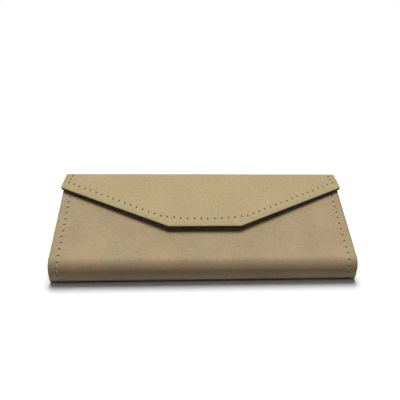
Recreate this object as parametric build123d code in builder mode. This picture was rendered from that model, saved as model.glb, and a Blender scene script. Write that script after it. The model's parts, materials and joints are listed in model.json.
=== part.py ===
"""Fold-flat glasses case: a wedge of leather-covered boards with an envelope flap.

Frame in millimetres: X runs along the case, Y from the front spine to the back hinge,
Z up.  The origin is the middle of the footprint, on the surface the case stands on.
Angles in the YZ section are measured from +Y towards +Z.
"""
import os
from math import atan2, cos, degrees, radians, sin, tan

from build123d import *

os.makedirs("parts", exist_ok=True)

# ---- driving dimensions -------------------------------------------------------------
body_width = 165.0          # base and front panel, end to end
lid_width = 163.4           # back panel and ridge
flap_width = 166.2          # flap at its outer corners, a little wider than the body
depth = 69.2                # front of the spine to back of the hinge
fold_radius = 7.2           # outside radius of the fold from the front panel to the spine
fold_height = 6.9           # fold centre above the table; the spine is upright below it
toe_radius = 1.8            # outside radius where the spine turns under the base
front_angle = 30.0          # slope of the front panel
front_length = 46.1         # front panel, from the fold to its free top edge
back_angle = 115.0          # lean of the back panel, measured from +Y
back_length = 46.4          # hinge line to ridge line along the back panel
flap_angle = 207.4          # direction of the flap from the ridge
flap_corner = 11.0          # ridge line to the flap's outer corners
flap_length = 38.2          # ridge line to the flap's tip
flap_tip_width = 40.0       # straight edge at the tip

leather = 1.0               # outer cover
board = 1.2                 # stiffener in every flat panel
lining = 0.6                # inner fabric
hem = 1.0                   # cover turned over the board's edges
hinge_gap = 3.0             # hinge line to the first stiff layer
joint_gap = 0.4             # leather strip to the next body's leather
fold_gap_angle = 4.0        # the spine's leather stops this far short of the front panel
back_hinge_radius = 1.9     # outside radius of the lower living hinge
ridge_radius = 1.8          # outside radius of the ridge
corner_radius = 0.9         # panel corners

seam_inset = 4.7            # stitch line to the panel's edge
seam_end = 1.0              # a seam stops this short of its panel's edge
stitch_pitch = 3.8
stitch_length = 2.7
stitch_width = 0.7
stitch_height = 0.3
pocket_depth = 0.4          # how far a stitch presses into the leather
pocket_margin = 0.15
flap_seam_top = 77.7        # half width of the flap's seam where it leaves the ridge strip
flap_seam_shoulder = (78.8, -7.3)
flap_seam_turn = (24.5, -31.3)
flap_seam_bow = 33.3        # ridge line to the middle of the bowed seam
magnet_radius = 5.0
magnet_x = 12.0
magnet_reach = 27.0         # ridge line to the flap magnets

gusset_inset = 2.0          # gusset's outer face to the body's end
gusset_thickness = 1.0
gusset_lift = 0.9           # gusset hinge line to the lining beside it
gusset_fold = 34.0          # inward lean of each gusset half at rest
gusset_front = 9.2          # gusset ends, measured from where its two hinge lines meet
gusset_lower_end = 69.5
gusset_upper_end = 57.0
gusset_crease_end = 61.5
crease_gap = 1.7            # each half stops this short of the crease

# ---- points and directions of the section ---------------------------------------------
panel = leather + board + lining
cover_depth = leather + board
spine_y = -depth / 2


def heading(angle):
    """Unit vector in the YZ section."""
    return Vector(0, cos(radians(angle)), sin(radians(angle)))


def panel_plane(origin, outward):
    """Plane on a panel's outer face: local X along the case, local Z outward."""
    return Plane(origin=origin, x_dir=(1, 0, 0), z_dir=outward)


fold_centre = Vector(0, spine_y + fold_radius, fold_height)
toe_centre = Vector(0, spine_y + toe_radius, toe_radius)
front_normal = heading(front_angle + 90)
front_start = fold_centre + front_normal * fold_radius
front_plane = panel_plane(front_start, front_normal)

back_along = heading(back_angle)
back_normal = heading(back_angle - 90)
mid_leather = leather / 2
hinge_reach = (back_hinge_radius - mid_leather) / tan(radians((180 - back_angle) / 2))
back_hinge_centre = Vector(0, depth / 2 - back_hinge_radius, back_hinge_radius)
back_hinge = Vector(0, back_hinge_centre.Y + hinge_reach, mid_leather)
ridge = back_hinge + back_along * back_length
back_plane = panel_plane(back_hinge + back_normal * mid_leather, back_normal)

flap_along = heading(flap_angle)
flap_normal = heading(flap_angle - 90)
flap_plane = panel_plane(ridge + flap_normal * mid_leather, flap_normal)
base_plane = panel_plane((0, toe_centre.Y, 0), (0, 0, -1))

base_length = back_hinge_centre.Y - toe_centre.Y
board_end = back_hinge.Y - hinge_gap - panel / 2 - toe_centre.Y
ridge_turn = back_angle + 180 - flap_angle
ridge_half = radians(ridge_turn / 2)
ridge_bisector = heading((back_angle + 180 + flap_angle) / 2)
ridge_centre = ridge + ridge_bisector * ((ridge_radius - mid_leather) / sin(ridge_half))


def section(point):
    """A point of the section as (y, z), for a sketch on Plane.YZ."""
    return (point.Y, point.Z)


def polar(centre, radius, angle):
    """A point at a radius and heading from a centre, as (y, z)."""
    return section(centre + heading(angle) * radius)


def straight_end(centre, outer, inner, angle, turn, lead):
    """Points from a strip's outer edge to its inner edge, past a straight lead if any."""
    run = heading(angle + turn) * lead
    ends = [section(centre + heading(angle) * radius + run) for radius in (outer, inner)]
    if lead == 0:
        return ends
    return [polar(centre, outer, angle), *ends, polar(centre, inner, angle)]


def strip_face(width, centre, outer, thickness, first, last, lead_in=0, lead_out=0):
    """Section of a leather strip, at its left end: an arc with straight ends."""
    inner = outer - thickness
    middle = (first + last) / 2
    last_end = straight_end(centre, outer, inner, last, 90, lead_out)
    first_end = straight_end(centre, outer, inner, first, -90, lead_in)
    with BuildSketch(Plane.YZ.offset(-width / 2)) as face:
        with BuildLine():
            ThreePointArc(first_end[0], polar(centre, outer, middle), last_end[0])
            Polyline(last_end)
            ThreePointArc(last_end[-1], polar(centre, inner, middle), first_end[-1])
            Polyline(first_end)
        make_face()
    return face.sketch


def save(piece, name):
    """Label a finished piece and write its file."""
    piece.part.label = name
    export_step(piece.part, f"parts/{name}.step")


def stitch_marks(seam_x, first, last):
    """Evenly spaced stitches along a straight seam on both ends of a panel."""
    count = round((last - first) / stitch_pitch)
    step = (last - first) / count
    rows = [first + step * (i + 0.5) for i in range(count)]
    return [(side * seam_x, y) for y in rows for side in (-1, 1)]


# ---- base ------------------------------------------------------------------------------
base_seam_x = body_width / 2 - seam_inset
base_marks = stitch_marks(base_seam_x, -board_end, -seam_end)

with BuildPart() as base_cover:
    with BuildSketch(base_plane.offset(-leather)):
        with Locations((0, -base_length / 2)):
            Rectangle(body_width, base_length)
    extrude(amount=leather)
    with BuildSketch(base_plane.offset(-cover_depth)):
        with Locations((0, -board_end / 2)):
            Rectangle(body_width, board_end)
            Rectangle(body_width - 2 * hem, board_end - 2 * hem, mode=Mode.SUBTRACT)
    extrude(amount=board)
    with BuildSketch(base_plane.offset(-pocket_depth)):
        with Locations(base_marks):
            Rectangle(stitch_width + 2 * pocket_margin, stitch_length + 2 * pocket_margin)
    extrude(amount=pocket_depth, mode=Mode.SUBTRACT)
save(base_cover, "base_cover")

with BuildPart() as base_board:
    with BuildSketch(base_plane.offset(-cover_depth)):
        with Locations((0, -board_end / 2)):
            Rectangle(body_width - 2 * hem, board_end - 2 * hem)
    extrude(amount=board)
save(base_board, "base_board")

with BuildPart() as base_lining:
    with BuildSketch(base_plane.offset(-panel)):
        with Locations((0, -board_end / 2)):
            Rectangle(body_width - 2 * hem, board_end)
    extrude(amount=lining)
save(base_lining, "base_lining")

with BuildPart() as base_stitching:
    with BuildSketch(base_plane.offset(-pocket_depth)):
        with Locations(base_marks):
            Rectangle(stitch_width, stitch_length)
    extrude(amount=stitch_height)
save(base_stitching, "base_stitching")

# ---- spine: leather and lining bent down the front and under, no board --------------------
fold_end = front_angle + 90 + fold_gap_angle
fold_middle = (fold_end + 180) / 2
toe_middle = (180 + 270) / 2


def spine_face(width, inset, thickness):
    """Section of a layer of the spine: round under the panel, upright, round at the toe."""
    outer_fold = fold_radius - inset
    inner_fold = outer_fold - thickness
    outer_toe = toe_radius - inset
    inner_toe = outer_toe - thickness
    outer_face = (spine_y + inset, fold_height)
    inner_face = (spine_y + inset + thickness, fold_height)
    with BuildSketch(Plane.YZ.offset(-width / 2)) as face:
        with BuildLine():
            ThreePointArc(
                polar(fold_centre, outer_fold, fold_end),
                polar(fold_centre, outer_fold, fold_middle),
                outer_face,
            )
            Line(outer_face, polar(toe_centre, outer_toe, 180))
            ThreePointArc(
                polar(toe_centre, outer_toe, 180),
                polar(toe_centre, outer_toe, toe_middle),
                polar(toe_centre, outer_toe, 270),
            )
            Line(polar(toe_centre, outer_toe, 270), polar(toe_centre, inner_toe, 270))
            ThreePointArc(
                polar(toe_centre, inner_toe, 270),
                polar(toe_centre, inner_toe, toe_middle),
                polar(toe_centre, inner_toe, 180),
            )
            Line(polar(toe_centre, inner_toe, 180), inner_face)
            ThreePointArc(
                inner_face,
                polar(fold_centre, inner_fold, fold_middle),
                polar(fold_centre, inner_fold, fold_end),
            )
            Line(polar(fold_centre, inner_fold, fold_end), polar(fold_centre, outer_fold, fold_end))
        make_face()
    return face.sketch


upright_middle = Vector(0, spine_y, (fold_height + toe_radius) / 2)
spine_planes = [
    panel_plane(fold_centre + heading(fold_middle) * fold_radius, heading(fold_middle)),
    panel_plane(upright_middle, heading(180)),
]

with BuildPart() as fold_cover:
    extrude(spine_face(body_width, 0, leather), amount=body_width)
    for stitch_plane in spine_planes:
        with BuildSketch(stitch_plane.offset(-pocket_depth)):
            with Locations((-base_seam_x, 0), (base_seam_x, 0)):
                Rectangle(stitch_width + 2 * pocket_margin, stitch_length + 2 * pocket_margin)
        extrude(amount=pocket_depth + pocket_margin, mode=Mode.SUBTRACT)
save(fold_cover, "fold_cover")

with BuildPart() as fold_lining:
    extrude(spine_face(body_width - 2 * hem, leather, lining), amount=body_width - 2 * hem)
save(fold_lining, "fold_lining")

with BuildPart() as fold_stitching:
    for stitch_plane in spine_planes:
        with BuildSketch(stitch_plane.offset(-pocket_depth)):
            with Locations((-base_seam_x, 0), (base_seam_x, 0)):
                Rectangle(stitch_width, stitch_length)
        extrude(amount=stitch_height)
save(fold_stitching, "fold_stitching")

# ---- lower living hinge, between the base and the back panel ------------------------------
strip_end = hinge_gap - joint_gap - hinge_reach

with BuildPart() as back_hinge_strip:
    face = strip_face(
        body_width,
        back_hinge_centre,
        back_hinge_radius,
        leather,
        -90,
        back_angle - 90,
        lead_out=strip_end,
    )
    extrude(face, amount=body_width)
save(back_hinge_strip, "back_hinge_strip")

# ---- front panel ---------------------------------------------------------------------------
front_marks = stitch_marks(base_seam_x, seam_end, front_length - 2 * seam_end)
ridge_along_front = (ridge - front_start).dot(heading(front_angle))
front_magnet_y = ridge_along_front - magnet_reach

with BuildPart() as front_cover:
    with BuildSketch(front_plane.offset(-cover_depth)):
        with Locations((0, front_length / 2)):
            Rectangle(body_width, front_length)
    extrude(amount=cover_depth)
    top_corners = front_cover.edges().filter_by(Axis(front_start, front_normal))
    fillet(top_corners.group_by(Axis.Y)[-1], corner_radius)
    with BuildSketch(front_plane.offset(-cover_depth)):
        with Locations((0, front_length / 2)):
            Rectangle(body_width - 2 * hem, front_length - 2 * hem)
    extrude(amount=board, mode=Mode.SUBTRACT)
    with BuildSketch(front_plane.offset(-pocket_depth)):
        with Locations(front_marks):
            Rectangle(stitch_width + 2 * pocket_margin, stitch_length + 2 * pocket_margin)
    extrude(amount=pocket_depth, mode=Mode.SUBTRACT)
save(front_cover, "front_cover")

with BuildPart() as front_board:
    with BuildSketch(front_plane.offset(-cover_depth)):
        with Locations((0, front_length / 2)):
            Rectangle(body_width - 2 * hem, front_length - 2 * hem)
        with Locations((-magnet_x, front_magnet_y), (magnet_x, front_magnet_y)):
            Circle(magnet_radius, mode=Mode.SUBTRACT)
    extrude(amount=board)
save(front_board, "front_board")

with BuildPart() as front_lining:
    with BuildSketch(front_plane.offset(-panel)):
        with Locations((0, front_length / 2)):
            Rectangle(body_width - 2 * hem, front_length - 2 * hem)
    extrude(amount=lining)
save(front_lining, "front_lining")

with BuildPart() as front_magnets:
    with BuildSketch(front_plane.offset(-cover_depth)):
        with Locations((-magnet_x, front_magnet_y), (magnet_x, front_magnet_y)):
            Circle(magnet_radius)
    extrude(amount=board)
save(front_magnets, "front_magnets")

with BuildPart() as front_stitching:
    with BuildSketch(front_plane.offset(-pocket_depth)):
        with Locations(front_marks):
            Rectangle(stitch_width, stitch_length)
    extrude(amount=stitch_height)
save(front_stitching, "front_stitching")

# ---- back panel ------------------------------------------------------------------------------
back_size = back_length - 2 * hinge_gap
back_middle = (0, -back_length / 2)
lid_seam_x = lid_width / 2 - seam_inset
back_seam_end = hinge_gap + seam_end
back_marks = stitch_marks(lid_seam_x, back_seam_end - back_length, -back_seam_end)

with BuildPart() as back_cover:
    with BuildSketch(back_plane.offset(-cover_depth)):
        with Locations(back_middle):
            Rectangle(lid_width, back_size)
    extrude(amount=cover_depth)
    with BuildSketch(back_plane.offset(-cover_depth)):
        with Locations(back_middle):
            Rectangle(lid_width - 2 * hem, back_size - 2 * hem)
    extrude(amount=board, mode=Mode.SUBTRACT)
    with BuildSketch(back_plane.offset(-pocket_depth)):
        with Locations(back_marks):
            Rectangle(stitch_width + 2 * pocket_margin, stitch_length + 2 * pocket_margin)
    extrude(amount=pocket_depth, mode=Mode.SUBTRACT)
save(back_cover, "back_cover")

with BuildPart() as back_board:
    with BuildSketch(back_plane.offset(-cover_depth)):
        with Locations(back_middle):
            Rectangle(lid_width - 2 * hem, back_size - 2 * hem)
    extrude(amount=board)
save(back_board, "back_board")

with BuildPart() as back_lining:
    with BuildSketch(back_plane.offset(-panel)):
        with Locations(back_middle):
            Rectangle(lid_width - 2 * hem, back_size)
    extrude(amount=lining)
save(back_lining, "back_lining")

with BuildPart() as back_stitching:
    with BuildSketch(back_plane.offset(-pocket_depth)):
        with Locations(back_marks):
            Rectangle(stitch_width, stitch_length)
    extrude(amount=stitch_height)
save(back_stitching, "back_stitching")

# ---- ridge: the living hinge between the back panel and the flap --------------------------------
ridge_tangent = (ridge_radius - mid_leather) / tan(ridge_half)

with BuildPart() as ridge_strip:
    face = strip_face(
        lid_width,
        ridge_centre,
        ridge_radius,
        leather,
        back_angle - 90,
        flap_angle - 90,
        lead_in=hinge_gap - ridge_tangent,
        lead_out=hinge_gap - joint_gap - ridge_tangent,
    )
    extrude(face, amount=lid_width)
save(ridge_strip, "ridge_strip")

# ---- flap ------------------------------------------------------------------------------------------
half_lid = lid_width / 2
half_flap = flap_width / 2
half_tip = flap_tip_width / 2
flap_outline = [
    (-half_lid, -hinge_gap),
    (-half_flap, -flap_corner),
    (-half_tip, -flap_length),
    (half_tip, -flap_length),
    (half_flap, -flap_corner),
    (half_lid, -hinge_gap),
]

# The seam follows the sides and the diagonals, then crosses the tip in a shallow bow.
right_side = [(flap_seam_top, -hinge_gap), flap_seam_shoulder, flap_seam_turn]
left_side = [(-x, y) for x, y in right_side]
with BuildLine() as flap_seam:
    Polyline(left_side)
    ThreePointArc(left_side[-1], (0, -flap_seam_bow), right_side[-1])
    Polyline(right_side[::-1])
seam_wire = flap_seam.wires()[0]
flap_stitches = round(seam_wire.length / stitch_pitch)


def flap_marks(length, width):
    """One rectangle per stitch, laid along the flap's seam."""
    with BuildSketch() as marks:
        for i in range(flap_stitches):
            share = (i + 0.5) / flap_stitches
            spot = seam_wire.position_at(share)
            ahead = seam_wire.tangent_at(share)
            turn = degrees(atan2(ahead.Y, ahead.X))
            with Locations((spot.X, spot.Y)):
                Rectangle(length, width, rotation=turn)
    return marks.sketch


flap_stitch_faces = flap_plane.offset(-pocket_depth) * flap_marks(stitch_length, stitch_width)
flap_pocket_faces = flap_plane.offset(-pocket_depth) * flap_marks(
    stitch_length + 2 * pocket_margin, stitch_width + 2 * pocket_margin
)
magnet_spots = [(-magnet_x, -magnet_reach), (magnet_x, -magnet_reach)]

with BuildPart() as flap_cover:
    with BuildSketch(flap_plane.offset(-cover_depth)) as flap_face:
        with BuildLine():
            Polyline(flap_outline, close=True)
        make_face()
        outer_corners = flap_face.vertices().sort_by(Axis.Y)[0:4]
        fillet(outer_corners, corner_radius)
    extrude(amount=cover_depth)
    with BuildSketch(flap_plane.offset(-cover_depth)):
        with BuildLine():
            Polyline(flap_outline, close=True)
        make_face()
        offset(amount=-hem)
    extrude(amount=board, mode=Mode.SUBTRACT)
    extrude(flap_pocket_faces, amount=pocket_depth, mode=Mode.SUBTRACT)
save(flap_cover, "flap_cover")

with BuildPart() as flap_board:
    with BuildSketch(flap_plane.offset(-cover_depth)):
        with BuildLine():
            Polyline(flap_outline, close=True)
        make_face()
        offset(amount=-hem)
        with Locations(magnet_spots):
            Circle(magnet_radius, mode=Mode.SUBTRACT)
    extrude(amount=board)
save(flap_board, "flap_board")

with BuildPart() as flap_lining:
    with BuildSketch(flap_plane.offset(-panel)):
        with BuildLine():
            Polyline(flap_outline, close=True)
        make_face()
        offset(amount=-hem)
    extrude(amount=lining)
save(flap_lining, "flap_lining")

with BuildPart() as flap_magnets:
    with BuildSketch(flap_plane.offset(-cover_depth)):
        with Locations(magnet_spots):
            Circle(magnet_radius)
    extrude(amount=board)
save(flap_magnets, "flap_magnets")

with BuildPart() as flap_stitching:
    extrude(flap_stitch_faces, amount=stitch_height)
save(flap_stitching, "flap_stitching")

# ---- end gussets: each end closes with two leather halves that fold inward --------------------------
gusset_x = body_width / 2 - gusset_inset - gusset_thickness / 2
lean = radians(gusset_fold)
half_wedge = tan(radians(front_angle / 2))
lower_drop = fold_height - panel - gusset_lift      # fold centre down to the lower hinge line
upper_rise = fold_radius - panel - gusset_lift      # fold centre out to the upper hinge line
meeting = fold_centre.Y - (lower_drop + upper_rise / cos(radians(front_angle))) / tan(
    radians(front_angle)
)


def gusset_reach(station):
    """Width of a gusset half at a station along its hinge line."""
    return station * half_wedge / cos(lean) - crease_gap


def gusset_half(side, along, towards_crease, panel_end):
    """One flat half: hinged along its panel and leaning inward to the crease."""
    edge = Vector(side * gusset_x, meeting, fold_centre.Z - lower_drop)
    inward = towards_crease * cos(lean) + Vector(-side * sin(lean), 0, 0)
    sheet = Plane(origin=edge, x_dir=along, z_dir=along.cross(inward))
    with BuildSketch(sheet.offset(-gusset_thickness / 2)) as face:
        with BuildLine():
            Polyline(
                (gusset_front, 0),
                (panel_end, 0),
                (gusset_crease_end, gusset_reach(gusset_crease_end)),
                (gusset_front, gusset_reach(gusset_front)),
                close=True,
            )
        make_face()
    return face.sketch


base_along = Vector(0, 1, 0)
base_up = Vector(0, 0, 1)
front_along = heading(front_angle)
front_down = front_normal * -1
for side, name in ((-1, "left"), (1, "right")):
    with BuildPart() as gusset_lower:
        face = gusset_half(side, base_along, base_up, gusset_lower_end)
        extrude(face, amount=gusset_thickness)
    save(gusset_lower, f"gusset_{name}_lower")
    with BuildPart() as gusset_upper:
        face = gusset_half(side, front_along, front_down, gusset_upper_end)
        extrude(face, amount=gusset_thickness)
    save(gusset_upper, f"gusset_{name}_upper")
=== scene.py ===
"""Looks of the fold-flat glasses case: leather, lining, thread, gussets, light and camera.

The outer leather is one long strip in the real case.  It runs from the free edge of the
front panel, down the front, round the spine, under the base, up the back, over the ridge
and down the flap.  A point on it has two coordinates in millimetres: x along the case and
p along the strip.  Path turns them, with a depth below the surface, into a place.
"""

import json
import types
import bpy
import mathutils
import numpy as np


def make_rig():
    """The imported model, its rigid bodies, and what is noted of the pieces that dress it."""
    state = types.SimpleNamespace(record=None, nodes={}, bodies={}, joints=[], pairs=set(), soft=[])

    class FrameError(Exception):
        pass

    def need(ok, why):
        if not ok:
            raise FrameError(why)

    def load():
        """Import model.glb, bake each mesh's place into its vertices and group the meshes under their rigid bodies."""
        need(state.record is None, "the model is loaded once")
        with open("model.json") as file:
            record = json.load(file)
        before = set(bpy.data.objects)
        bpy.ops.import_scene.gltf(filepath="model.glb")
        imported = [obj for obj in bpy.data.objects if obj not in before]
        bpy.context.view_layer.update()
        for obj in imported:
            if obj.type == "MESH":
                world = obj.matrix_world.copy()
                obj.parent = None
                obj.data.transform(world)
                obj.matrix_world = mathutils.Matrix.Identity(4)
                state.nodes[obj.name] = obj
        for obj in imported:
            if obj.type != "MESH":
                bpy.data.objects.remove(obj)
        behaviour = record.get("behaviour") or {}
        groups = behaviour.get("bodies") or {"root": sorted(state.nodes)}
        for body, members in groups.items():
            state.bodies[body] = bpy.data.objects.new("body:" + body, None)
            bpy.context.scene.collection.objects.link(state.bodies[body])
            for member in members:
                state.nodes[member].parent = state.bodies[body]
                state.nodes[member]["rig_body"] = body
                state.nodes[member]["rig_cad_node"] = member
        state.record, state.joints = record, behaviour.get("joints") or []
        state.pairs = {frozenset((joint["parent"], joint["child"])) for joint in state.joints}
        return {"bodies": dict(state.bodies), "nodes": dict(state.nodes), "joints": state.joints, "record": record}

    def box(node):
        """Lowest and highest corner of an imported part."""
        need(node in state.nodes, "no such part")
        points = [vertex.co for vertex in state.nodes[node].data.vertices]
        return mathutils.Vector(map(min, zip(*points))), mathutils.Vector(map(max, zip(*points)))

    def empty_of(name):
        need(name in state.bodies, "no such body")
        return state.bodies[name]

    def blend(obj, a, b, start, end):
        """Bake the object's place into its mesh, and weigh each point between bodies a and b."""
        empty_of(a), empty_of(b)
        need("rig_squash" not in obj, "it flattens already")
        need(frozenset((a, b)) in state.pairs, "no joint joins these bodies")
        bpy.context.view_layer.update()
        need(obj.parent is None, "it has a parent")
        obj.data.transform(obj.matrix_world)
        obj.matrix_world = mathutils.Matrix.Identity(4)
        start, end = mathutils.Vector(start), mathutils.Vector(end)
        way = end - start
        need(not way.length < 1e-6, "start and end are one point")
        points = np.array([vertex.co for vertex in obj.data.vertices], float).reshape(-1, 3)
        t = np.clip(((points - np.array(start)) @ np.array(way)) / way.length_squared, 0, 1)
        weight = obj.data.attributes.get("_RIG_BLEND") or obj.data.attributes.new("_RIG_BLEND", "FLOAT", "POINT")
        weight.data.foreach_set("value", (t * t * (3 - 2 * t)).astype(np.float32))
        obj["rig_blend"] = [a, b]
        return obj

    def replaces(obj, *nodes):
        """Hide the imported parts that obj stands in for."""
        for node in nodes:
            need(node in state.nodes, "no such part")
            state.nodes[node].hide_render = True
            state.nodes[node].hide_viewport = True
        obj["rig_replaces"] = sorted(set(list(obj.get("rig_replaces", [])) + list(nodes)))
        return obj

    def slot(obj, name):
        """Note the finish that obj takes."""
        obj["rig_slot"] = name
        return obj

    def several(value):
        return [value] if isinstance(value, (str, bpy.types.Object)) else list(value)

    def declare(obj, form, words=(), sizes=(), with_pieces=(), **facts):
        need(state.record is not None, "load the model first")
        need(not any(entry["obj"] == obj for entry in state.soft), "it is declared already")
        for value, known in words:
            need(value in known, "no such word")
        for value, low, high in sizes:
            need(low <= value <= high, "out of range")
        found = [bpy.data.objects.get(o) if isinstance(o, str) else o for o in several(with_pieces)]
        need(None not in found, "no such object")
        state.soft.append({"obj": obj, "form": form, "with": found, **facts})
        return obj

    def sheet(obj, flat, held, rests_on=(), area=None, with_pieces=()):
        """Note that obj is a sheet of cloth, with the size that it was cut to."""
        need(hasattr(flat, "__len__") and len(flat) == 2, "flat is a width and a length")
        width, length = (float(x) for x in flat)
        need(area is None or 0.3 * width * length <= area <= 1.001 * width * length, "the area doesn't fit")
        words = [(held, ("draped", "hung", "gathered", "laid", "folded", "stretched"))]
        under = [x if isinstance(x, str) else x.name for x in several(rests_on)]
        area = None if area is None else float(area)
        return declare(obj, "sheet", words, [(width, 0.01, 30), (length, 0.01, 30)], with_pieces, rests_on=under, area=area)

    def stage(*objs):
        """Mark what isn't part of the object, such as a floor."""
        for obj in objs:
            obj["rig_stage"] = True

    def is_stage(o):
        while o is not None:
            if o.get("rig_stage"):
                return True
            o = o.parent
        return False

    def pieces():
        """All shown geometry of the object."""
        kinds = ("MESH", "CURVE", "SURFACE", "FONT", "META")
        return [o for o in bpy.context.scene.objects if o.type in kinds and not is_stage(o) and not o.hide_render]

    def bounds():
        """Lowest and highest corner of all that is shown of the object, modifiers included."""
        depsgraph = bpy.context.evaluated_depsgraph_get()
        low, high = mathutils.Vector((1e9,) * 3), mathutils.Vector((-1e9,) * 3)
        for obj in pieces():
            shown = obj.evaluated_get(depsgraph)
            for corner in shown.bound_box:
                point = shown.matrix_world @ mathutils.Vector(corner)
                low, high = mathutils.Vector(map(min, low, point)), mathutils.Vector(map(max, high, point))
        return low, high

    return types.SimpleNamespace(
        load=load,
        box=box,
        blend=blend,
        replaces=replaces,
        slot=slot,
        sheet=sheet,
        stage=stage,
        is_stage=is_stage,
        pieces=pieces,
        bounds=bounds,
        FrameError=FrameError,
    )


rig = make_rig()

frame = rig.load()
cad_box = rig.bounds()

import json
from math import atan2, ceil, cos, pi, radians, sin, tan

import bmesh
import bpy
import numpy as np
from mathutils import Matrix, Vector
from mathutils.geometry import delaunay_2d_cdt

MM = 0.001
SEED = 11
joints = {joint["name"]: joint for joint in frame["joints"]}

# ---- the case's own dimensions, in millimetres ---------------------------------------------
BODY_HALF = 82.5            # half widths of the body, the back, the flap's corners and its tip
LID_HALF = 81.7
FLAP_HALF = 83.1
TIP_HALF = 20.0
FRONT_LENGTH = 46.1         # fold to the front panel's free edge
FRONT_ANGLE = 30.0          # directions in the section, in degrees from +Y towards +Z
BACK_ANGLE = 115.0
FLAP_ANGLE = 207.4
FOLD_RADIUS = 7.2           # outer radii of the strip's bends
TOE_RADIUS = 1.8
HINGE_RADIUS = 1.9
RIDGE_RADIUS = 1.8
FLAP_CORNER = 11.0          # ridge line to the flap's corners, and to its tip
FLAP_LENGTH = 38.2
MID_LEATHER = 0.5           # hinge lines lie this far below the outer face
PANEL_THICK = 2.35          # leather and board
STRIP_THICK = 1.0           # leather alone
LINING_THICK = 0.45
LINING_MARGIN = 2.2         # lining's edge to the leather's edge
CORNER_RADIUS = 0.8         # corners of every sheet, seen flat
EDGE_ROUND = 0.5            # rounding of the turned edges
RIPPLE = 34.0               # size of the leather's unevenness
RIPPLE_EDGE = (0.3, 4.0)    # it fades in between these distances from the edge
WORN_EDGE = (0.2, 2.0)      # wear fades out between these
TURNED_MARGIN = (3.2, 5.6)  # and the tone of the turned margin between these
EDGE_SHADE_REACH = 0.15            # the painted shade reaches this far in from the flap's edge

# ---- dimensions of the seams and the thread ------------------------------------------------
SEAM_INSET = 4.7
PITCH = 3.8
PITCH_DRIFT = 0.14          # unevenness of the holes along the seam
HOLE_DRIFT = 0.07           # and in any direction
CASE_SEAM_START = 2.6       # seam ends, from the nearest edge or bend
CASE_SEAM_END = 3.2
BACK_SEAM_START = 1.8
BACK_SEAM_END = 1.4
FLAP_SEAM_TOP = (77.5, 2.2)        # half width and distance from the ridge line
FLAP_SEAM_SHOULDER = (78.8, 7.3)
FLAP_SEAM_TURN = (24.5, 31.3)
FLAP_SEAM_BOW = 33.3
HOLE = 0.6                  # needle hole's radius at the surface
HOLE_FLOOR = 0.26           # and at its bottom
HOLE_DEPTH = 0.8
HOLE_SHADE_RING = (0.44, 0.68)    # the painted shade round a hole fades between these radii
VALLEY = 0.06               # depth of the groove along a seam
VALLEY_SIDES = (0.1, 0.9)   # the groove rises between these distances from the seam
THREAD_RADIUS = 0.19
THREAD_SINK = 0.13          # a stitch's middle lies this far below the surface
THREAD_DIVE = 0.55          # how much further down it goes at its ends
DIVE_LENGTH = 0.75
THREAD_END = 0.7            # a stitch's thickness at its ends, as a share

# ---- spacing of mesh points ----------------------------------------------------------------
BEND_STEP = 7.0             # degrees of bend between rows
ROW_STEP = 2.2              # flat leather between rows, and between points of a row
ROW_GAP = 0.12              # a row closer than this to the one before is left out
DENSE_GAP = 0.9             # rows closer than this have their points closer too
DENSE_SHARE = 0.6
EDGE_STEP = 1.6             # points along an edge
EDGE_RINGS = 6              # rings over the rounding of an edge
CORNER_STEPS = 6
EDGE_CLEAR = 0.5            # rows stop short of the edge rings
SEAM_CLEAR = 1.25           # and of the seams
SEAM_LINES = (-0.85, -0.4, 0.0, 0.4, 0.85)    # lines of points along a seam
SEAM_STEP = 0.5
HOLE_CLEAR = 1.2            # these lines stop short of the holes
ROSETTE = ((0.0, 1), (0.22, 6), (0.4, 9), (0.6, 11), (0.8, 11), (1.15, 10))  # radius, points


def section_of(joint):
    """A hinge's place in the YZ section, in millimetres."""
    place = joints[joint]["pos_m"]
    return np.array([place[1], place[2]]) / MM


def heading(angle):
    """Unit vector of the section at an angle in degrees."""
    return np.array([cos(radians(angle)), sin(radians(angle))])


fold = section_of("front_fold")
hinge = section_of("lid_hinge")
ridge = section_of("flap_hinge")
spine_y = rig.box("fold_cover")[0][1] / MM
front_top = fold + heading(FRONT_ANGLE + 90) * FOLD_RADIUS + heading(FRONT_ANGLE) * FRONT_LENGTH
hinge_reach = (HINGE_RADIUS - MID_LEATHER) / tan(radians(180 - BACK_ANGLE) / 2)
ridge_reach = (RIDGE_RADIUS - MID_LEATHER) / tan(radians(BACK_ANGLE + 180 - FLAP_ANGLE) / 2)
back_length = float(np.linalg.norm(ridge - hinge))
base_length = (hinge[0] - hinge_reach) - (spine_y + TOE_RADIUS)


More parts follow.
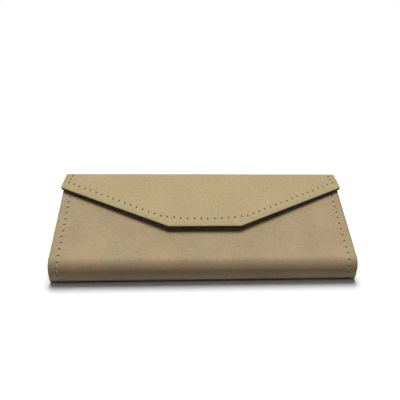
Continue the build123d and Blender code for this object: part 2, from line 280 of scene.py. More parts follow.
class Path:
    """A strip's outer face in section: straight runs and arcs, with the outward heading along it."""

    def __init__(self, start, angle, runs):
        self.p, self.at, self.angle, self.turn = [0.0], [np.array(start, float)], [angle], []
        for length, turn in runs:
            here, facing = self.at[-1], self.angle[-1]
            if turn:
                radius = length / radians(turn)
                there = here + (heading(facing + turn) - heading(facing)) * radius
            else:
                there = here + heading(facing + 90) * length
            self.p.append(self.p[-1] + length)
            self.at.append(there)
            self.angle.append(facing + turn)
            self.turn.append(turn)

    def spots(self, p, depth):
        """Section points for arrays of p and depth below the outer face."""
        marks = np.array(self.p)
        run = np.clip(np.searchsorted(marks, p, side="right") - 1, 0, len(self.turn) - 1)
        length = np.diff(marks)[run]
        along = p - marks[run]
        turn = np.radians(np.array(self.turn)[run])
        first = np.radians(np.array(self.angle[:-1])[run])
        facing = first + turn * along / length
        bent = turn != 0
        radius = np.where(bent, length / np.where(bent, turn, 1), 0)[:, None]
        straight = np.where(bent, 0, along)[:, None]
        first_out = np.stack([np.cos(first), np.sin(first)], 1)
        out = np.stack([np.cos(facing), np.sin(facing)], 1)
        ahead = np.stack([-np.sin(first), np.cos(first)], 1)
        start = np.array(self.at)[run]
        return start + ahead * straight + (out - first_out) * radius - out * depth[:, None]

    def rows(self, first, last, extra=()):
        """Values of p from first to last, close together where the strip bends."""
        values = {first, last, *(v for v in extra if first < v < last)}
        for a, b, turn in zip(self.p[:-1], self.p[1:], self.turn):
            steps = ceil(turn / BEND_STEP) if turn else ceil((b - a) / ROW_STEP)
            values |= {v for v in np.linspace(a, b, steps + 1) if first <= v <= last}
        values = np.array(sorted(values))
        return values[np.r_[True, np.diff(values) > ROW_GAP]]


fold_arc = radians(90 - FRONT_ANGLE) * FOLD_RADIUS
toe_arc = radians(90) * TOE_RADIUS
hinge_arc = radians(BACK_ANGLE) * HINGE_RADIUS
ridge_turn = FLAP_ANGLE - BACK_ANGLE
ridge_arc = radians(ridge_turn) * RIDGE_RADIUS
strip = Path(
    front_top,
    FRONT_ANGLE + 90,
    [
        (FRONT_LENGTH, 0),
        (fold_arc, 90 - FRONT_ANGLE),
        (fold[1] - TOE_RADIUS, 0),
        (toe_arc, 90),
        (base_length, 0),
        (hinge_arc, BACK_ANGLE),
        (back_length - hinge_reach - ridge_reach, 0),
        (ridge_arc, ridge_turn),
        (FLAP_LENGTH - ridge_reach, 0),
    ],
)
P_FRONT, P_FOLD, P_UPRIGHT, P_TOE, P_BASE, P_HINGE, P_BACK, P_RIDGE, P_TIP = strip.p[1:]
P_CASE_END = P_BASE - 1.3       # where the case's leather meets the back's, under the hinge
P_BACK_END = P_BACK - 3.0       # where the back's leather meets the flap's, below the ridge
P_RIDGE_LINE = P_RIDGE - ridge_reach    # lengths down the flap are measured from here
P_SHOULDER = P_RIDGE_LINE + FLAP_CORNER
BARE_STRETCHES = (              # leather alone: where the board ends, and where it starts again
    ((P_FRONT - 0.8, P_FRONT + 0.8), (P_TOE - 0.4, P_TOE + 0.6)),
    ((P_BASE - 2.8, P_BASE - 1.6), (P_HINGE + 0.2, P_HINGE + 1.2)),
    ((P_BACK - 1.9, P_BACK - 0.9), (P_RIDGE + 0.9, P_RIDGE + 1.9)),
)
changes = [
    p
    for fades in BARE_STRETCHES
    for first, last in fades
    for p in (first, (first + last) / 2, last)
]


def smooth(value, low, high):
    """0 below low, 1 above high, smooth between."""
    t = np.clip((value - low) / (high - low), 0, 1)
    return t * t * (3 - 2 * t)


def widen(p):
    """The strip's half width along it, as a share of the body's."""
    marks = [P_HINGE - 1, P_HINGE + 3, P_RIDGE, P_SHOULDER]
    halves = [BODY_HALF, LID_HALF, LID_HALF, FLAP_HALF]
    return np.interp(p, marks, halves) / BODY_HALF


def on_strip(x, p, depth):
    """Places in metres for arrays of x, p and depth below the outer face."""
    return np.column_stack([x * widen(p), strip.spots(p, depth)]) * MM


def thickness(p):
    """Leather and board in a panel, leather alone where the strip bends."""
    bare = np.maximum.reduce(
        [smooth(p, *ends) - smooth(p, *starts) for ends, starts in BARE_STRETCHES]
    )
    return PANEL_THICK + (STRIP_THICK - PANEL_THICK) * bare


def ripple(x, p, size, seed):
    """Seeded smooth unevenness, about -1 to 1, with features of the given size."""
    rng = np.random.default_rng(SEED + seed)
    total = np.zeros_like(x)
    waves = 7
    for _ in range(waves):
        angle = rng.uniform(0, 2 * pi)
        length = size * rng.uniform(0.7, 1.6)
        phase = rng.uniform(0, 2 * pi)
        total += np.sin((x * cos(angle) + p * sin(angle)) * 2 * pi / length + phase)
    return total / waves ** 0.5 / 1.4


# ---- flat outlines -------------------------------------------------------------------------
class Outline:
    """A convex outline in x and p, with rounded corners; its cut edges stay square and plain."""

    CUT_REACH = 12.0        # to the rounding, the outline runs on this far past a cut edge

    def __init__(self, corners, cut=()):
        self.corners = np.array(corners, float)
        count = len(corners)
        middle = self.corners.mean(0)
        self.lines = []
        for i in range(count):
            a, b = self.corners[i], self.corners[(i + 1) % count]
            ahead = (b - a) / np.linalg.norm(b - a)
            inward = np.array([-ahead[1], ahead[0]])
            if inward @ (middle - a) < 0:
                inward = -inward
            self.lines.append((inward, inward @ a))
        self.cut = set(cut)
        shifted = [(n, c + self.shift(i)) for i, (n, c) in enumerate(self.lines)]
        self.core = np.array([self.cross(shifted[i - 1], shifted[i]) for i in range(count)])

    def shift(self, i):
        """How far inside edge i the core runs, from which the soft edges are rounded."""
        return -self.CUT_REACH if i in self.cut else CORNER_RADIUS

    @staticmethod
    def cross(first, second):
        """Where two lines meet, each given by its normal and offset."""
        return np.linalg.solve(np.array([first[0], second[0]]), np.array([first[1], second[1]]))

    def inside(self, points, margin=-1e-7):
        """Whether each point is inside every edge by the margin."""
        ok = np.ones(len(points), bool)
        for normal, offset in self.lines:
            ok &= points @ normal - offset >= margin
        return ok

    def edge(self, points):
        """Distance to the nearest soft edge, with the corners rounded."""
        best = np.full(len(points), 1e9)
        for i in range(len(self.core)):
            a, b = self.core[i], self.core[(i + 1) % len(self.core)]
            t = np.clip(((points - a) @ (b - a)) / ((b - a) @ (b - a)), 0, 1)
            best = np.minimum(best, np.linalg.norm(points - a - t[:, None] * (b - a), axis=1))
        within = np.ones(len(points), bool)
        for i, (normal, offset) in enumerate(self.lines):
            within &= points @ normal - offset - self.shift(i) >= 0
        return np.where(within, CORNER_RADIUS + best, CORNER_RADIUS - best)

    def ring(self, inset):
        """Points along the line at the given distance inside the soft edges."""
        reach = CORNER_RADIUS - inset
        points = []
        count = len(self.core)
        for i in range(count):
            a, b = self.core[i], self.core[(i + 1) % count]
            normal = -self.lines[i][0]
            length = np.linalg.norm(b - a)
            steps = max(1, ceil(length / EDGE_STEP))
            for k in range(steps + 1):
                points.append(a + (b - a) * k / steps + normal * reach)
            following = -self.lines[(i + 1) % count][0]
            start = atan2(normal[1], normal[0])
            swing = (atan2(following[1], following[0]) - start + pi) % (2 * pi) - pi
            for k in range(1, CORNER_STEPS):
                angle = start + swing * k / CORNER_STEPS
                points.append(b + np.array([cos(angle), sin(angle)]) * reach)
        points = np.array(points)
        return points[self.inside(points, 1e-6 if inset > 0 else -1e-7)]

    def cut_points(self, stations):
        """Points on the cut edges at the given distances from their ends."""
        points = []
        count = len(self.corners)
        for i in self.cut:
            a, b = self.corners[i], self.corners[(i + 1) % count]
            length = np.linalg.norm(b - a)
            ahead = (b - a) / length
            spots = list(stations) + list(length - np.array(stations))
            spots += list(np.linspace(2, length - 2, ceil(length / EDGE_STEP)))
            points += [a + ahead * s for s in sorted(set(np.round(spots, 5)))]
        return np.array(points).reshape(-1, 2)


# ---- seams ---------------------------------------------------------------------------------
def arc_through(a, b, c, steps=24):
    """Points on the circle from a through b to c."""
    a, b, c = (np.array(v, float) for v in (a, b, c))
    centre = np.linalg.solve(
        2 * np.array([b - a, c - a]), np.array([b @ b - a @ a, c @ c - a @ a])
    )
    radius = np.linalg.norm(a - centre)
    first, last = (atan2(*(v - centre)[::-1]) for v in (a, c))
    sweep = (last - first + pi) % (2 * pi) - pi
    angles = first + sweep * np.arange(steps + 1) / steps
    return centre + radius * np.stack([np.cos(angles), np.sin(angles)], 1)


class Seam:
    """A line of needle holes: each run of points in x and p is divided evenly, ends included."""

    def __init__(self, *runs, seed=0):
        rng = np.random.default_rng(SEED + 40 + seed)
        holes, line = [], []
        for route in runs:
            route = np.array(route, float)
            lengths = np.r_[0, np.cumsum(np.linalg.norm(np.diff(route, axis=0), axis=1))]
            count = max(2, round(lengths[-1] / PITCH))
            spots = np.linspace(0, lengths[-1], count + 1)
            spots[1:-1] += rng.uniform(-PITCH_DRIFT, PITCH_DRIFT, count - 1)
            fine = np.linspace(0, lengths[-1], ceil(lengths[-1] / SEAM_STEP))
            for values, into in ((spots, holes), (fine, line)):
                into.append(np.stack([np.interp(values, lengths, route[:, k]) for k in (0, 1)], 1))
        last = len(runs) - 1
        self.holes = np.concatenate([h if k == last else h[:-1] for k, h in enumerate(holes)])
        self.holes += rng.uniform(-HOLE_DRIFT, HOLE_DRIFT, self.holes.shape)
        self.line = np.concatenate([v if k == last else v[:-1] for k, v in enumerate(line)])

    def distance(self, points):
        """Distance to the line from hole to hole, for points near it."""
        best = np.full(len(points), 1e9)
        for a, b in zip(self.holes[:-1], self.holes[1:]):
            near = np.abs(points - (a + b) / 2).max(1) < 2 * PITCH
            q = points[near]
            t = np.clip(((q - a) @ (b - a)) / ((b - a) @ (b - a)), 0, 1)
            best[near] = np.minimum(best[near], np.linalg.norm(q - a - t[:, None] * (b - a), axis=1))
        return best


def hole_depth(points, seams):
    """Depth of the needle holes at each point, and how strong the painted shade in and round them is there."""
    nearest = np.full(len(points), 1e9)
    for seam in seams:
        for hole in seam.holes:
            near = np.abs(points - hole).max(1) < PITCH / 2
            nearest[near] = np.minimum(nearest[near], np.linalg.norm(points[near] - hole, axis=1))
    inside = 1 - smooth(nearest, HOLE_FLOOR, HOLE)
    return HOLE_DEPTH * inside, 1 - smooth(nearest, *HOLE_SHADE_RING)


# ---- mesh making ---------------------------------------------------------------------------
def new_object(name, points, faces, uv, marks=None):
    """A smooth mesh object from arrays, with its UV map and point attributes."""
    mesh = bpy.data.meshes.new(name)
    mesh.from_pydata([tuple(v) for v in points], [], [tuple(f) for f in faces])
    solid = bmesh.new()
    solid.from_mesh(mesh)
    bmesh.ops.recalc_face_normals(solid, faces=solid.faces)
    solid.to_mesh(mesh)
    solid.free()
    layer = mesh.uv_layers.new(name="strip")
    corner = np.empty(len(mesh.loops), int)
    mesh.loops.foreach_get("vertex_index", corner)
    layer.data.foreach_set("uv", np.asarray(uv, np.float32)[corner].ravel())
    for key, values in (marks or {}).items():
        mark = mesh.attributes.new(key, "FLOAT", "POINT")
        mark.data.foreach_set("value", np.asarray(values, np.float32))
    mesh.polygons.foreach_set("use_smooth", [True] * len(mesh.polygons))
    mesh.set_sharp_from_angle(angle=radians(70))
    obj = bpy.data.objects.new(name, mesh)
    bpy.context.scene.collection.objects.link(obj)
    return obj


def flat_points(outline, rows, rounding, seams):
    """Points of the flat outline: its edge rings, rows across it and a rosette at each hole."""
    low, high = outline.corners.min(0), outline.corners.max(0)
    angles = [k * pi / 2 / EDGE_RINGS for k in range(EDGE_RINGS + 1)]
    insets = [rounding * (1 - cos(angle)) for angle in angles]
    sets = [outline.ring(inset) for inset in insets]
    gaps = np.r_[np.inf, np.diff(rows), np.inf]
    grid = []
    for k, p in enumerate(rows):
        dense = min(gaps[k], gaps[k + 1]) < DENSE_GAP
        step = ROW_STEP * (DENSE_SHARE if dense else 1)
        xs = np.linspace(low[0], high[0], ceil((high[0] - low[0]) / step))
        grid.append(np.stack([xs, np.full(len(xs), p)], 1))
    grid = np.concatenate(grid)
    grid = grid[outline.inside(grid)]
    grid = grid[outline.edge(grid) > rounding + EDGE_CLEAR]
    for seam in seams:
        grid = grid[seam.distance(grid) > SEAM_CLEAR]
    for i in outline.cut:
        normal, offset = outline.lines[i]
        grid = grid[grid @ normal - offset > EDGE_CLEAR]
    sets.append(grid)
    for seam in seams:
        ahead = np.gradient(seam.line, axis=0)
        across = np.stack([-ahead[:, 1], ahead[:, 0]], 1)
        across /= np.linalg.norm(across, axis=1)[:, None]
        for side in SEAM_LINES:
            line = seam.line + across * side
            clear = np.linalg.norm(line[:, None] - seam.holes[None], axis=2).min(1) > HOLE_CLEAR
            sets.append(line[clear & (outline.edge(line) > rounding + 0.1)])
        for radius, count in ROSETTE:
            angles = 2 * pi * np.arange(count) / count
            spoke = np.stack([np.cos(angles), np.sin(angles)], 1) * radius
            ring = (seam.holes[:, None] + spoke[None]).reshape(-1, 2)
            sets.append(ring[outline.inside(ring, 0.2)])
    if outline.cut:
        sets.append(outline.cut_points(insets))
    return np.unique(np.round(np.concatenate(sets), 4), axis=0)


def strip_marks(edge, p):
    """Where the outer leather gets painted shade over the fold, painted bounce light at the toe and painted shade on
    the flap's edge.
    """
    # painted shade: the leather darkens where the fold turns away from the light
    painted_fold_shade = smooth(p, P_FRONT - 0.8, P_FRONT + 5) * (1 - smooth(p, P_FOLD - 1, P_UPRIGHT))
    # painted bounce light: the lower spine and toe are lightened and greyed as if lit from the floor
    painted_toe_light = smooth(p, P_FOLD + 1, P_UPRIGHT) * (1 - smooth(p, P_TOE - 1, P_TOE + 1))
    # painted shade on the flap's edge wall, above the dark gap under the flap
    painted_edge_shade = (1 - smooth(edge, 0.0, EDGE_SHADE_REACH)) * smooth(p, P_SHOULDER - 3, P_SHOULDER)
    return {"painted_fold_shade": painted_fold_shade, "painted_toe_light": painted_toe_light, "painted_edge_shade": painted_edge_shade}


def sheet_mesh(name, outline, place, thick, rows, seams=(), lift=None, uneven=0.05, seed=0):
    """A closed sheet with rounded edges: place(x, p, depth) puts it in space.

    thick(p) is its full thickness and lift(p) the depth of its outer face.  Only the outer
    leather has seams, so it alone gets the strip's marks, and it is kept even under the base.
    """
    rounding = min(EDGE_ROUND, 0.46 * float(np.min(thick(rows))))
    flat = flat_points(outline, rows, rounding, seams)
    done = delaunay_2d_cdt([Vector(v) for v in flat], [], [], 0, 1e-4)
    flat = np.array([tuple(v) for v in done[0]])
    faces = np.array([tuple(f) for f in done[2]], int)

    edge = np.maximum(outline.edge(flat), 0)
    full = thick(flat[:, 1])
    round_off = rounding * (1 - np.sqrt(1 - np.clip(1 - edge / rounding, 0, 1) ** 2))
    wave = uneven * smooth(edge, *RIPPLE_EDGE) * ripple(flat[:, 0], flat[:, 1], RIPPLE, seed)
    marks = {"worn": 1 - smooth(edge, *WORN_EDGE), "margin": 1 - smooth(edge, *TURNED_MARGIN)}
    holes, hole_shade, dip = (np.zeros(len(flat)) for _ in range(3))
    if seams:
        p = flat[:, 1]
        wave *= 1 - smooth(p, P_FOLD, P_TOE) * (1 - smooth(p, P_HINGE, P_HINGE + 5))
        marks |= strip_marks(edge, p)
        holes, hole_shade = hole_depth(flat, seams)
    for seam in seams:
        dip = np.maximum(dip, VALLEY * (1 - smooth(seam.distance(flat), *VALLEY_SIDES)))
    base = lift(flat[:, 1]) if lift else np.zeros(len(flat))
    top = base + round_off + holes + dip - wave
    bottom = base + full - round_off

    a, b, c = (flat[faces[:, k]] for k in range(3))
    cross = (b - a)[:, 0] * (c - a)[:, 1] - (b - a)[:, 1] * (c - a)[:, 0]
    keep = np.abs(cross) > 1e-3
    faces = faces[keep]
    turned = cross[keep] > 0
    faces[turned] = faces[turned][:, ::-1]
    all_faces = [tuple(f) for f in faces] + [tuple(f[::-1] + len(flat)) for f in faces]
    rim_edges = set()
    for f in faces:
        for i, j in ((f[0], f[1]), (f[1], f[2]), (f[2], f[0])):
            if (j, i) in rim_edges:
                rim_edges.remove((j, i))
            else:
                rim_edges.add((i, j))
    all_faces += [(j, i, i + len(flat), j + len(flat)) for i, j in sorted(rim_edges)]
    points = np.concatenate(
        [place(flat[:, 0], flat[:, 1], top), place(flat[:, 0], flat[:, 1], bottom)]
    )
    marks = {key: np.tile(values, 2) for key, values in marks.items()}
    marks["hole_shade"] = np.r_[hole_shade, np.zeros(len(flat))]
    return new_object(name, points, all_faces, np.tile(flat, (2, 1)) / 10, marks)


def thread_mesh(name, seams, place, faces_of):
    """Stitches from hole to hole, on both faces: each dives into the leather at both ends.

    faces_of lists (depth function, direction into the leather) for each face that shows thread.
    """
    steps, around = 11, 8
    flat, depth, faces, uv = [], [], [], []
    turns = 2 * pi * np.arange(around) / around
    t = np.linspace(0, 1, steps)
    for face, sign in faces_of:
        for seam in seams:
            for a, b in zip(seam.holes[:-1], seam.holes[1:]):
                length = np.linalg.norm(b - a)
                line = a + (b - a) * t[:, None]
                dive = np.clip(np.minimum(t, 1 - t) * length / DIVE_LENGTH, 0, 1)
                sunk = (1 - np.sqrt(1 - (1 - dive) ** 2)) * THREAD_DIVE + THREAD_SINK
                side = np.array([-(b - a)[1], (b - a)[0]]) / length
                thin = THREAD_RADIUS * (THREAD_END + (1 - THREAD_END) * dive)
                first = len(flat) * around * steps
                ring = line[:, None] + side * (thin[:, None] * np.cos(turns))[:, :, None]
                flat.append(ring.reshape(-1, 2))
                level = face(ring[:, :, 1].ravel()).reshape(steps, around)
                depth.append((level + sign * (sunk[:, None] - thin[:, None] * np.sin(turns))).ravel())
                for k in range(steps):
                    for m in range(around):
                        uv.append((t[k] * length / 10, m / around * 0.12))
                        if k < steps - 1:
                            i, n = first + k * around, (m + 1) % around
                            faces.append((i + m, i + n, i + around + n, i + around + m))
                faces.append(tuple(first + m for m in range(around)))
                faces.append(tuple(first + (steps - 1) * around + m for m in range(around)))
    flat = np.concatenate(flat)
    points = place(flat[:, 0], flat[:, 1], np.concatenate(depth))
    return new_object(name, points, faces, np.array(uv))


# ---- materials -----------------------------------------------------------------------------
class Nodes:
    """A material's node tree, built by short calls."""

    def __init__(self, name, coordinates="strip"):
        self.material = bpy.data.materials.new(name)
        self.material.use_nodes = True
        self.tree = self.material.node_tree
        self.shader = self.tree.nodes["Principled BSDF"]
        if coordinates == "strip":
            self.place = self.make("ShaderNodeUVMap", uv_map="strip").outputs["UV"]
        else:
            self.place = self.scaled(
                self.make("ShaderNodeTexCoord").outputs["Object"], (100, 100, 100)
            )

    def make(self, kind, inputs=None, **settings):
        node = self.tree.nodes.new(kind)
        for key, value in settings.items():
            setattr(node, key, value)
        for key, value in (inputs or {}).items():
            self.set(node.inputs[key], value)
        return node

    def set(self, socket, value):
        if isinstance(value, bpy.types.NodeSocket):
            self.tree.links.new(value, socket)
        else:
            socket.default_value = value

    def scaled(self, vector, scale):
        return self.make("ShaderNodeMapping", {"Vector": vector, "Scale": scale}).outputs["Vector"]

    def noise(self, scale, detail=3.0, rough=0.55, stretch=(1, 1, 1), shift=0.0):
        """Noise around 0.5, with features about 1/scale centimetres across."""
        place = self.make(
            "ShaderNodeMapping",
            {"Vector": self.place, "Scale": stretch, "Location": (shift, shift * 0.7, 0)},
        ).outputs["Vector"]
        inputs = {"Vector": place, "Scale": scale, "Detail": detail, "Roughness": rough}
        return self.make("ShaderNodeTexNoise", inputs).outputs["Fac"]

    def remap(self, value, low, high, to_low=0.0, to_high=1.0):
        inputs = {
            "Value": value, "From Min": low, "From Max": high, "To Min": to_low, "To Max": to_high,
        }
        return self.make("ShaderNodeMapRange", inputs).outputs["Result"]

    def math(self, kind, a, b):
        return self.make("ShaderNodeMath", {0: a, 1: b}, operation=kind).outputs[0]

    def mix(self, share, a, b, kind="MIX"):
        """Colour b over colour a."""
        node = self.make("ShaderNodeMix", data_type="RGBA", blend_type=kind)
        for index, value in ((0, share), (6, a), (7, b)):
            if isinstance(value, tuple):
                value = (*value, 1.0)
            self.set(node.inputs[index], value)
        return node.outputs[2]

    def mark(self, name):
        return self.make("ShaderNodeAttribute", attribute_name=name).outputs["Fac"]

    def bump(self, *layers):
        """Bump from (height, strength, distance in millimetres) layers, one over the other."""
        normal = None
        for height, strength, distance in layers:
            inputs = {"Height": height, "Strength": strength, "Distance": distance * MM}
            if normal:
                inputs["Normal"] = normal
            normal = self.make("ShaderNodeBump", inputs).outputs["Normal"]
        self.set(self.shader.inputs["Normal"], normal)

    def finish(self, colour, roughness, **constants):
        self.set(self.shader.inputs["Base Color"], colour)
        self.set(self.shader.inputs["Roughness"], roughness)
        for key, value in constants.items():
            self.shader.inputs[key.replace("_", " ")].default_value = value
        return self.material


def leather(name, light, dark, warm, cool, blotches):
    """Nubuck: soft blotches at several scales, a fine nap, painted shade over the fold and painted shade in the needle
    holes.

    The turned margin is a shade greener, the toe is lightened with painted bounce light and the flap's edge is
    darkened with painted shade.
    """
    n = Nodes(name)
    blotch = n.remap(n.noise(0.42, 3, 0.5, shift=3.1), 0.36, 0.64)
    cloud = n.remap(n.noise(1.15, 4, 0.6, shift=8.4), 0.34, 0.66)
    fleck = n.remap(n.noise(4.2, 4, 0.65, shift=1.7), 0.3, 0.7)
    nap = n.noise(26, 3, 0.6)
    grain = n.noise(60, 2, 0.5, shift=5.0)
    speck = n.noise(8.5, 3, 0.6, shift=12.0)
    colour = n.mix(blotch, dark, light)
    colour = n.mix(n.remap(cloud, 0, 1, 0.0, blotches), colour, warm)
    colour = n.mix(n.remap(n.noise(0.7, 3, 0.55, shift=21.0), 0.45, 0.7, 0, blotches), colour, cool)
    shade = n.remap(fleck, 0, 1, 0.94, 1.05)
    shade = n.math("MULTIPLY", shade, n.remap(nap, 0.3, 0.7, 0.93, 1.07))
    shade = n.math("MULTIPLY", shade, n.remap(speck, 0.3, 0.7, 0.89, 1.11))
    shade = n.math("MULTIPLY", shade, n.remap(n.mark("worn"), 0, 1, 1.0, 0.93))
    grey = n.make("ShaderNodeCombineColor", {"Red": shade, "Green": shade, "Blue": shade})
    colour = n.mix(1.0, colour, grey.outputs["Color"], "MULTIPLY")
    # painted shade over the fold
    colour = n.mix(n.mark("painted_fold_shade"), colour, (0.75, 0.67, 0.65), "MULTIPLY")
    colour = n.mix(n.mark("margin"), colour, (0.955, 0.995, 0.985), "MULTIPLY")
    # painted bounce light at the toe
    colour = n.mix(n.mark("painted_toe_light"), colour, (1.32, 1.32, 1.5), "MULTIPLY")
    # painted shade on the flap's edge
    colour = n.mix(n.mark("painted_edge_shade"), colour, (0.10, 0.055, 0.035), "MULTIPLY")
    # painted shade in and round the needle holes
    colour = n.mix(n.remap(n.mark("hole_shade"), 0, 1, 0, 0.92), colour, (0.062, 0.033, 0.014))
    n.bump((cloud, 0.25, 0.25), (fleck, 0.3, 0.08), (nap, 0.5, 0.05), (grain, 0.5, 0.03))
    roughness = n.remap(fleck, 0, 1, 0.82, 0.94)
    return n.finish(colour, roughness, Sheen_Weight=0.12, Sheen_Roughness=0.55, Specular_IOR_Level=0.25)


def lining_cloth(name):
    """Brushed microfibre: a short directional nap with soft lighter strokes."""
    n = Nodes(name)
    stroke = n.remap(n.noise(1.4, 4, 0.6, stretch=(1, 0.35, 1)), 0.32, 0.68)
    fibre = n.noise(38, 3, 0.7, stretch=(1, 0.4, 1), shift=2.0)
    colour = n.mix(stroke, (0.17, 0.118, 0.075), (0.235, 0.168, 0.108))
    colour = n.mix(n.remap(fibre, 0.3, 0.7, 0, 0.35), colour, (0.31, 0.235, 0.16))
    n.bump((stroke, 0.2, 0.2), (fibre, 0.6, 0.09))
    roughness = n.remap(fibre, 0.3, 0.7, 0.85, 0.98)
    return n.finish(colour, roughness, Sheen_Weight=0.35, Sheen_Roughness=0.4, Specular_IOR_Level=0.2)


def thread_finish(name):
    """Twisted polyester thread."""
    n = Nodes(name)
    twist = n.make(
        "ShaderNodeTexWave",
        {"Vector": n.place, "Scale": 3.2, "Distortion": 0.4},
        bands_direction="DIAGONAL",
    ).outputs["Fac"]
    colour = n.mix(twist, (0.44, 0.345, 0.205), (0.58, 0.475, 0.31))
    n.bump((twist, 0.5, 0.04))
    return n.finish(colour, n.remap(twist, 0, 1, 0.75, 0.6), Specular_IOR_Level=0.35)


def greyboard(name):
    """Pressed board: grey pulp with dark and pale fibres."""
    n = Nodes(name, "object")
    pulp = n.noise(3.0, 5, 0.65)
    fibre = n.noise(14, 4, 0.7, stretch=(1, 3, 1))
    colour = n.mix(n.remap(pulp, 0.3, 0.7), (0.20, 0.19, 0.17), (0.30, 0.285, 0.26))
    colour = n.mix(n.remap(fibre, 0.55, 0.75, 0, 0.6), colour, (0.11, 0.10, 0.09))
    n.bump((fibre, 0.5, 0.08))
    return n.finish(colour, n.remap(pulp, 0.3, 0.7, 0.85, 0.97), Specular_IOR_Level=0.2)


def nickel(name):
    """Nickel-plated magnet with fine scuffs."""
    n = Nodes(name, "object")
    scuff = n.noise(30, 4, 0.6, stretch=(1, 6, 1))
    colour = n.mix(n.remap(scuff, 0.4, 0.7), (0.62, 0.60, 0.56), (0.48, 0.46, 0.43))
    n.bump((scuff, 0.3, 0.01))
    return n.finish(colour, n.remap(scuff, 0.3, 0.7, 0.18, 0.38), Metallic=1.0)


FLOOR_BOUNCE = 0.34         # share of light that the paper throws back up


def studio_floor(name):
    """White paper that is seen as white but throws little light back up, as on a large table."""
    n = Nodes(name, "object")
    tone = n.remap(n.noise(0.02, 2, 0.5), 0.3, 0.7, 0.935, 0.95)
    paper = n.make("ShaderNodeCombineColor", {"Red": tone, "Green": tone, "Blue": tone})
    seen = n.make("ShaderNodeLightPath").outputs["Is Camera Ray"]
    colour = n.mix(seen, (FLOOR_BOUNCE,) * 3, paper.outputs["Color"])
    return n.finish(colour, n.remap(n.noise(8, 2, 0.5), 0, 1, 0.9, 1.0), Specular_IOR_Level=0.0)


case_nubuck = leather(
    "case_nubuck", (0.419, 0.321, 0.176), (0.367, 0.273, 0.153), (0.439, 0.308, 0.200),
    (0.342, 0.284, 0.168), 0.65,
)
flap_nubuck = leather(
    "flap_nubuck", (0.462, 0.355, 0.183), (0.422, 0.321, 0.167), (0.465, 0.341, 0.210),
    (0.396, 0.330, 0.183), 0.45,
)
lining_material = lining_cloth("brown_microfibre")
thread_material = thread_finish("tan_thread")
board_material = greyboard("grey_board")
magnet_material = nickel("nickel_plate")


# ---- the case's pieces ---------------------------------------------------------------------
def in_section(pivot, direction, distance):
    """The point of the section at a distance from a pivot along a direction, in metres."""
    direction = np.array(direction, float) / np.hypot(*direction)
    y, z = (pivot + direction * distance) * MM
    return (0.0, y, z)


def bend(piece, first, second, pivot, direction, start, end):
    """The piece follows one body, then turns over to the next across a short stretch."""
    points = (in_section(pivot, direction, v) for v in (start, end))
    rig.blend(piece, first, second, *points)


def dress(piece, material, slot, *nodes_stood_for):
    """Gives the piece its material and slot, and names the CAD nodes that it stands for."""
    piece.data.materials.append(material)
    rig.slot(piece, slot)
    if nodes_stood_for:
        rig.replaces(piece, *nodes_stood_for)
    return piece


# two bodies, the hinge between them, and where the bend starts and ends from it, in millimetres
case_bend = ("base", "front_panel", fold, (-0.15, 1), -3.6, 3.2)
back_bend = ("base", "lid", hinge, (0.3, 1), -0.16, 0.75)
flap_bend = ("lid", "flap", ridge, (-1, 0.5), -1.0, -0.11)
back_lining_bend = ("base", "lid", hinge, (0.5, 1), -0.65, 0.08)


def flap_place(spot):
    """x and p of a flap point, from its true x and its distance from the ridge line."""
    x, below = spot
    p = P_RIDGE_LINE + below
    return (x / float(widen(p)), p)


def mirrored(spot):
    return (-spot[0], spot[1])


def side_seam(side, first, last, seed):
    """A straight seam along one side of the strip."""
    x = side * (BODY_HALF - SEAM_INSET)
    return Seam([(x, first), (x, last)], seed=seed)


case_seams = [
    side_seam(side, CASE_SEAM_START, P_BASE - CASE_SEAM_END, side + 1) for side in (-1, 1)
]
back_seams = [
    side_seam(side, P_HINGE + BACK_SEAM_START, P_BACK_END - BACK_SEAM_END, side + 5)
    for side in (-1, 1)
]
bow_spots = arc_through(mirrored(FLAP_SEAM_TURN), (0, FLAP_SEAM_BOW), FLAP_SEAM_TURN)
bow = [flap_place(spot) for spot in bow_spots]
left_run = [flap_place(mirrored(spot)) for spot in (FLAP_SEAM_TOP, FLAP_SEAM_SHOULDER)]
right_run = [flap_place(spot) for spot in (FLAP_SEAM_SHOULDER, FLAP_SEAM_TOP)]
flap_seams = [Seam(left_run, [left_run[1], bow[0]], bow, [bow[-1], right_run[0]], right_run, seed=9)]

case_outline = Outline(
    [(-BODY_HALF, 0), (BODY_HALF, 0), (BODY_HALF, P_CASE_END), (-BODY_HALF, P_CASE_END)], cut=[2]
)
back_outline = Outline(
    [(-BODY_HALF, P_CASE_END), (BODY_HALF, P_CASE_END), (BODY_HALF, P_BACK_END),
     (-BODY_HALF, P_BACK_END)], cut=[0, 2]
)
flap_outline = Outline(
    [(-BODY_HALF, P_BACK_END), (BODY_HALF, P_BACK_END), (BODY_HALF, P_SHOULDER),
     flap_place((TIP_HALF, FLAP_LENGTH)), flap_place((-TIP_HALF, FLAP_LENGTH)),
     (-BODY_HALF, P_SHOULDER)], cut=[0]
)

case_leather = sheet_mesh("case_leather", case_outline, on_strip, thickness,
                          strip.rows(0, P_CASE_END, changes), case_seams, seed=1)
back_leather = sheet_mesh("back_leather", back_outline, on_strip, thickness,
                          strip.rows(P_CASE_END, P_BACK_END, changes), back_seams, seed=2)
flap_leather = sheet_mesh("flap_leather", flap_outline, on_strip, thickness,
                          strip.rows(P_BACK_END, P_TIP, changes), flap_seams, seed=3)
dress(case_leather, case_nubuck, "cover_leather", "front_cover", "fold_cover", "base_cover")
dress(back_leather, flap_nubuck, "cover_leather", "back_hinge_strip", "back_cover")
dress(flap_leather, flap_nubuck, "cover_leather", "ridge_strip", "flap_cover")
bend(case_leather, *case_bend)
bend(back_leather, *back_bend)
bend(flap_leather, *flap_bend)


def inset(outline, margin):
    """The same outline with its soft edges moved in."""
    count = len(outline.lines)
    moved = [
        (n, c if i in outline.cut else c + margin) for i, (n, c) in enumerate(outline.lines)
    ]
    return Outline([outline.cross(moved[i - 1], moved[i]) for i in range(count)], outline.cut)


def lining_thickness(p):
    return np.full(len(p), LINING_THICK)


